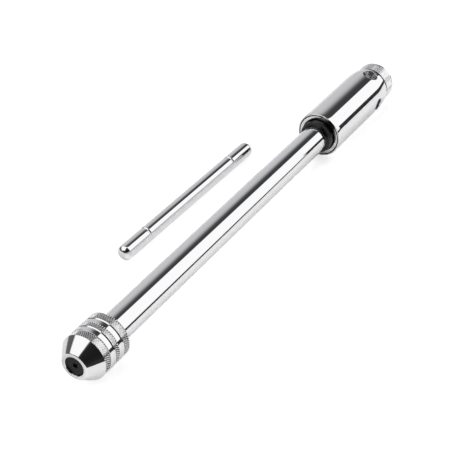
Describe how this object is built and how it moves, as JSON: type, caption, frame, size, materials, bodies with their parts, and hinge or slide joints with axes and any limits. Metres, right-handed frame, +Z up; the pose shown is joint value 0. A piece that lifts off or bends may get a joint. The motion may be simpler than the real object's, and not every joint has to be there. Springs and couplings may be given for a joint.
{
  "type": "ratchet tap wrench",
  "caption": "Long tap wrench with a knurled jaw chuck, a reversible ratchet head with crossed bar bores and a knurled selector cap, and its loose cross bar.",
  "frame": {"origin": "centre of the nose face, on the wrench's axis", "axes": "+X along the wrench from the nose to the head, +Z up as it lies on the floor, +Y towards the loose cross bar"},
  "size_m": [0.25, 0.0438, 0.021],
  "materials": {
    "chrome_plate": "polished chrome plate",
    "hardened_steel": "ground",
    "machined_steel": "turned",
    "spring_steel": "drawn wire",
    "black_oxide_steel": "black oxide",
    "black_nylon": "moulded, satin"
  },
  "bodies": {
    "spindle": {"spindle": "chrome_plate", "ratchet_wheel": "hardened_steel", "wheel_pin": "hardened_steel", "jaw_spring_a": "spring_steel", "jaw_spring_b": "spring_steel"},
    "cap_carriage": {"cap_stop_ring": "spring_steel"},
    "nose_cap": {"chuck_cap": "chrome_plate"},
    "jaw_a": {"jaw_a": "black_oxide_steel"},
    "jaw_b": {"jaw_b": "black_oxide_steel"},
    "head": {"sleeve": "chrome_plate", "head_core": "machined_steel", "front_bush": "black_nylon", "thrust_washer": "hardened_steel", "selector_snap_ring": "spring_steel", "selector_ball": "hardened_steel", "selector_spring": "spring_steel", "detent_ball": "hardened_steel", "detent_plug": "hardened_steel", "detent_spring": "spring_steel", "pawl_spring_right": "spring_steel", "pawl_spring_left": "spring_steel"},
    "selector": {"selector_cap": "chrome_plate", "cam_ring": "machined_steel"},
    "pawl_right": {"pawl_right": "hardened_steel"},
    "pawl_left": {"pawl_left": "hardened_steel"},
    "tee_bar": {"tee_bar": "chrome_plate"}
  },
  "joints": [
    {"name": "cap_advance", "type": "slide", "parent": "spindle", "child": "cap_carriage", "axis": [-1, 0, 0], "range_m": [0, 0.005]},
    {"name": "cap_turn", "type": "hinge", "parent": "cap_carriage", "child": "nose_cap", "pos_m": [0.011, 0, 0], "axis": [-1, 0, 0], "range_deg": [0, 1440]},
    {"name": "jaw_a_slide", "type": "slide", "parent": "spindle", "child": "jaw_a", "axis": [0, 0.7314, 0.682], "range_m": [0, 0.00289], "deforming": ["jaw_spring_a", "jaw_spring_b"]},
    {"name": "jaw_b_slide", "type": "slide", "parent": "spindle", "child": "jaw_b", "axis": [0, -0.7314, -0.682], "range_m": [0, 0.00289]},
    {"name": "head_turn", "type": "hinge", "parent": "spindle", "child": "head", "pos_m": [0.217, 0, 0], "axis": [1, 0, 0], "continuous": true},
    {"name": "selector_turn", "type": "hinge", "parent": "head", "child": "selector", "pos_m": [0.2425, 0, 0], "axis": [-1, 0, 0], "range_deg": [0, 60]},
    {"name": "pawl_right_slide", "type": "slide", "parent": "head", "child": "pawl_right", "axis": [1, 0, 0], "range_m": [0, 0.0018], "deforming": ["pawl_spring_right"]},
    {"name": "pawl_left_slide", "type": "slide", "parent": "head", "child": "pawl_left", "axis": [-1, 0, 0], "range_m": [0, 0.0018], "deforming": ["pawl_spring_left"]},
    {"name": "tee_bar_lift", "type": "slide", "parent": "spindle", "child": "tee_bar", "axis": [0, 0, 1], "range_m": [0, 0.03]}
  ],
  "couplings": [
    {"joint": "cap_advance", "follows": "cap_turn", "m_per_rad": 0.00019894},
    {"joint": "jaw_a_slide", "follows": "cap_turn", "m_per_rad": 0.00011486},
    {"joint": "jaw_b_slide", "follows": "cap_turn", "m_per_rad": 0.00011486},
    {"joint": "pawl_right_slide", "follows": "selector_turn", "m_per_rad": 0.0017189},
    {"joint": "pawl_left_slide", "follows": "selector_turn", "m_per_rad": 0.0017189}
  ]
}
